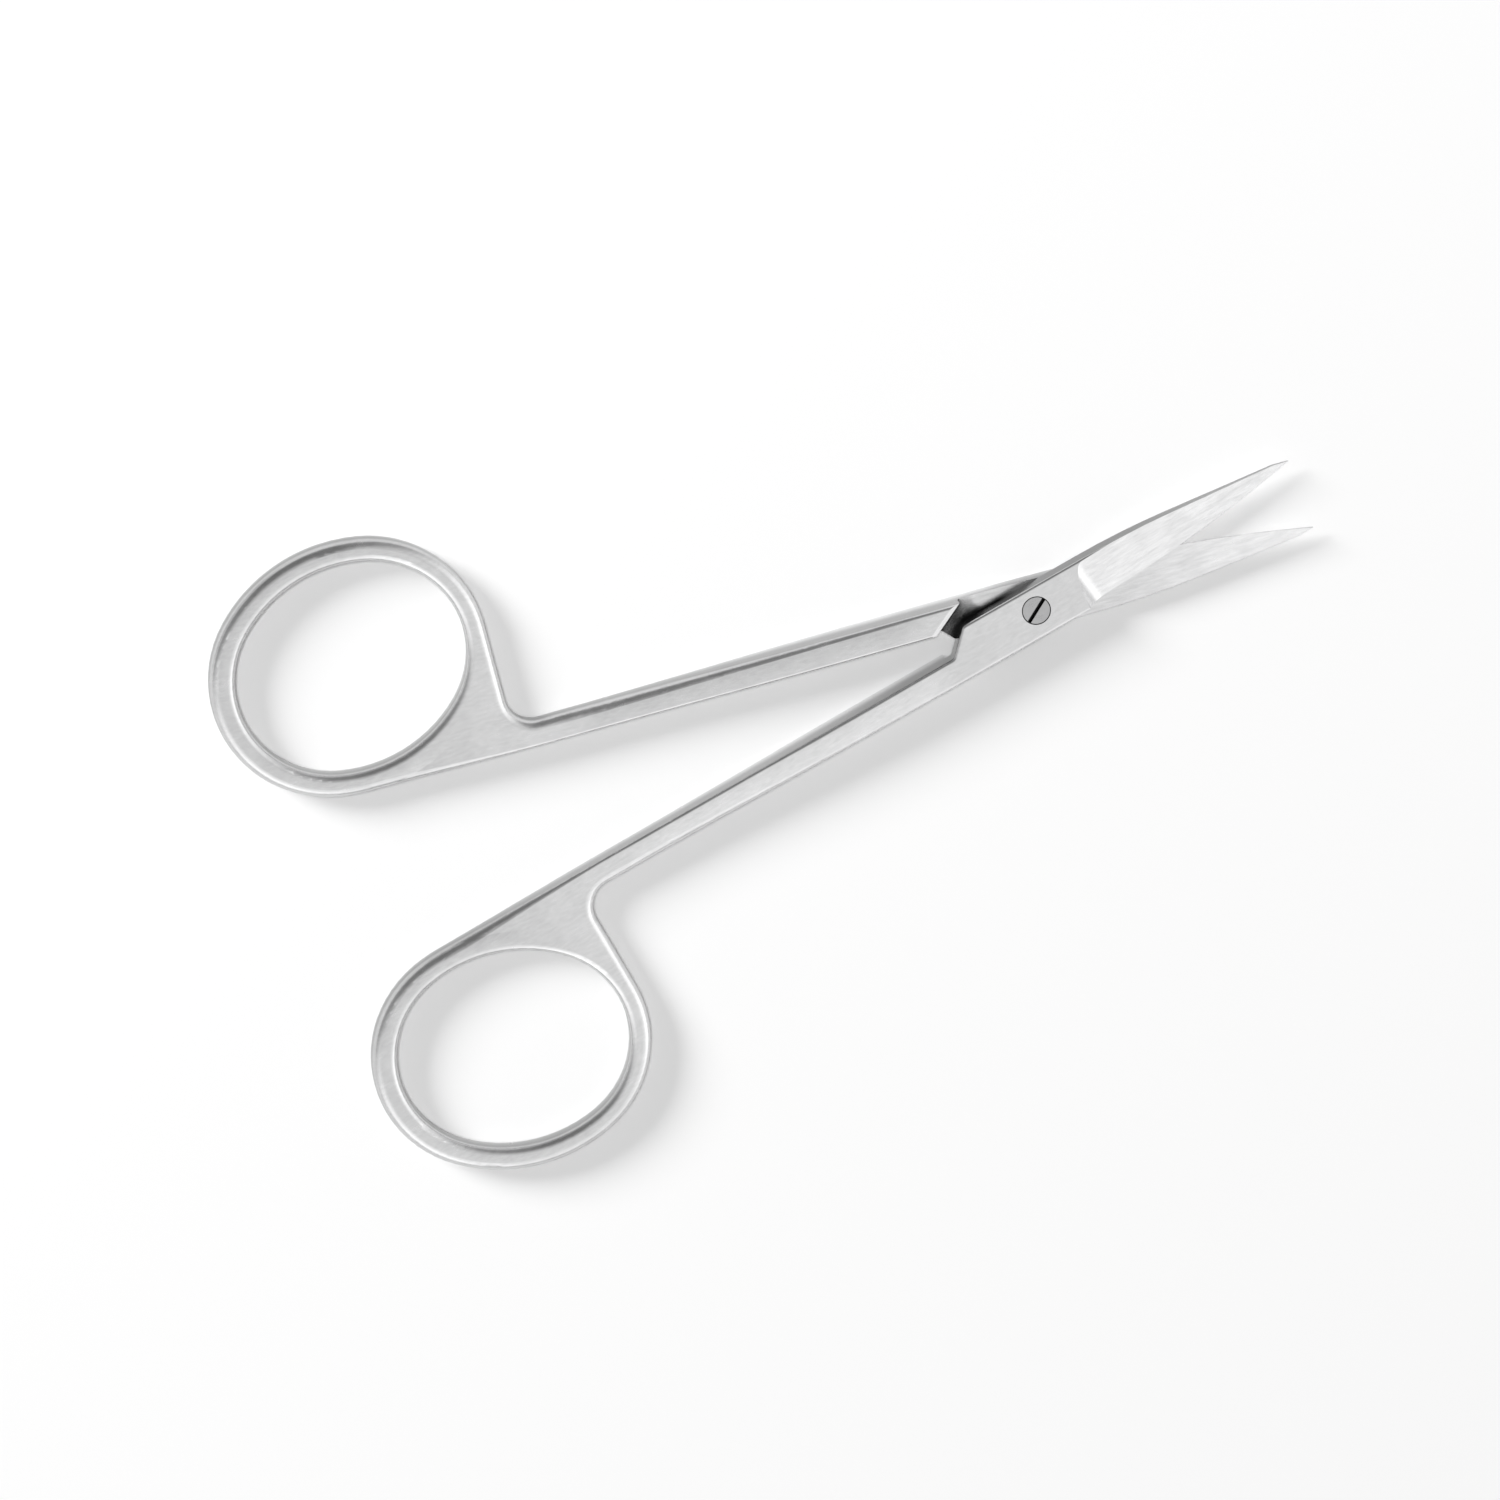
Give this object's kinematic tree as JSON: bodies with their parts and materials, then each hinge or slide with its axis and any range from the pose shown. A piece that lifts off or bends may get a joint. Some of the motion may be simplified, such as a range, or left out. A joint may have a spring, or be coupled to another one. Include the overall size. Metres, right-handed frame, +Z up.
{
  "type": "iris scissors",
  "caption": "Straight, sharp-pointed iris scissors in satin stainless steel, with oval finger rings, a half-lap joint and a slotted pivot screw, resting open.",
  "frame": {"origin": "point on the pivot axis at the flat underside of the joint, which is the plane the scissors lie on", "axes": "+X along the closed centreline from the pivot to the tips, +Z up along the pivot axis towards the slotted screw head, +Y to the left so that it is the side of the lower half's finger ring"},
  "size_m": [0.1127, 0.0714, 0.0037],
  "materials": {
    "upper_steel": "satin",
    "lower_steel": "satin",
    "screw_steel": "turned"
  },
  "bodies": {
    "lower": {"lower_half": "lower_steel", "pivot_screw": "screw_steel"},
    "upper": {"upper_half": "upper_steel"}
  },
  "joints": [
    {"name": "pivot", "type": "hinge", "parent": "lower", "child": "upper", "pos_m": [0, 0, 0.00187], "axis": [0, 0, 1], "range_deg": [-14.7, 124]}
  ]
}
